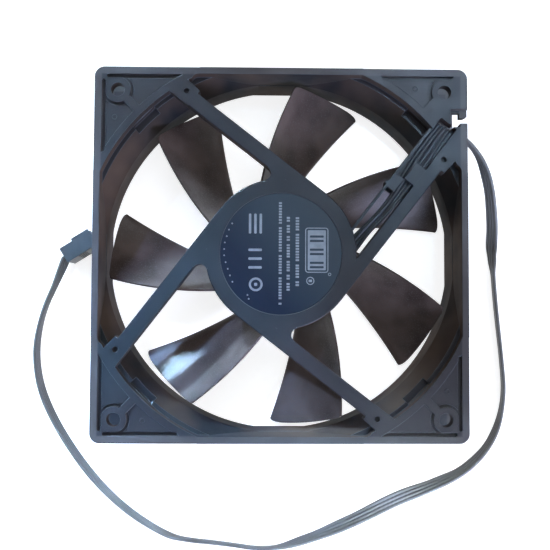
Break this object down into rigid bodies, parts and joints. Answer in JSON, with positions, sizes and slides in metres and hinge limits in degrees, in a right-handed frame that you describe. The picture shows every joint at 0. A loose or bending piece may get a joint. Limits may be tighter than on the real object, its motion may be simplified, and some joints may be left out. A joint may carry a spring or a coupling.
{
  "type": "case fan",
  "caption": "Square axial case fan with a seven-bladed impeller on a brushless motor, four tangential struts and a flat four-wire lead ending in a fan plug.",
  "frame": {"origin": "centre of the square intake face, on the surface that the fan lies on", "axes": "+Z along the rotor's axis, the way the air leaves; +X and +Y along the frame's sides, with the wire channel and cable notch towards +X +Y"},
  "size_m": [0.1631, 0.16, 0.025],
  "materials": {
    "frame_plastic": "moulded, slightly satin",
    "rotor_plastic": "moulded, fine grain",
    "label": "glossy printed film",
    "wire_insulation": "smooth PVC",
    "plug_plastic": "moulded",
    "contact_metal": "tin plated",
    "shaft_steel": "ground",
    "yoke_steel": "zinc plated",
    "lamination_steel": "stamped",
    "bearing_brass": "turned",
    "sintered_bronze": "porous, oiled",
    "magnet": "bonded ferrite",
    "insulator": "moulded",
    "copper": "enamelled wire",
    "board": "solder mask",
    "chip": "epoxy",
    "ceramic": "fired",
    "seal_nylon": "moulded",
    "plug_rubber": "soft"
  },
  "bodies": {
    "housing": {"fan_frame": "frame_plastic", "hub_label": "label", "bearing_tube": "bearing_brass", "sleeve_bearing": "sintered_bronze", "oil_seal": "seal_nylon", "thrust_pad": "seal_nylon", "bearing_plug": "plug_rubber", "stator_core": "lamination_steel", "upper_insulator": "insulator", "lower_insulator": "insulator", "terminal_pins": "contact_metal", "circuit_board": "board", "driver_chip": "chip", "hall_sensor": "chip", "filter_capacitor": "ceramic", "protection_diode": "chip", "chip_resistors": "chip", "ribbon_cord": "wire_insulation", "connector_housing": "plug_plastic", "coil_winding_1": "copper", "lead_wire_1": "wire_insulation", "connector_terminal_1": "contact_metal", "coil_winding_2": "copper", "lead_wire_2": "wire_insulation", "connector_terminal_2": "contact_metal", "coil_winding_3": "copper", "lead_wire_3": "wire_insulation", "connector_terminal_3": "contact_metal", "coil_winding_4": "copper", "lead_wire_4": "wire_insulation", "connector_terminal_4": "contact_metal"},
    "rotor": {"impeller": "rotor_plastic", "rotor_yoke": "yoke_steel", "magnet_ring": "magnet", "rotor_shaft": "shaft_steel", "retaining_clip": "seal_nylon"}
  },
  "joints": [
    {"name": "rotor_spin", "type": "hinge", "parent": "housing", "child": "rotor", "pos_m": [0, 0, 0.0125], "axis": [0, 0, 1], "continuous": true}
  ]
}
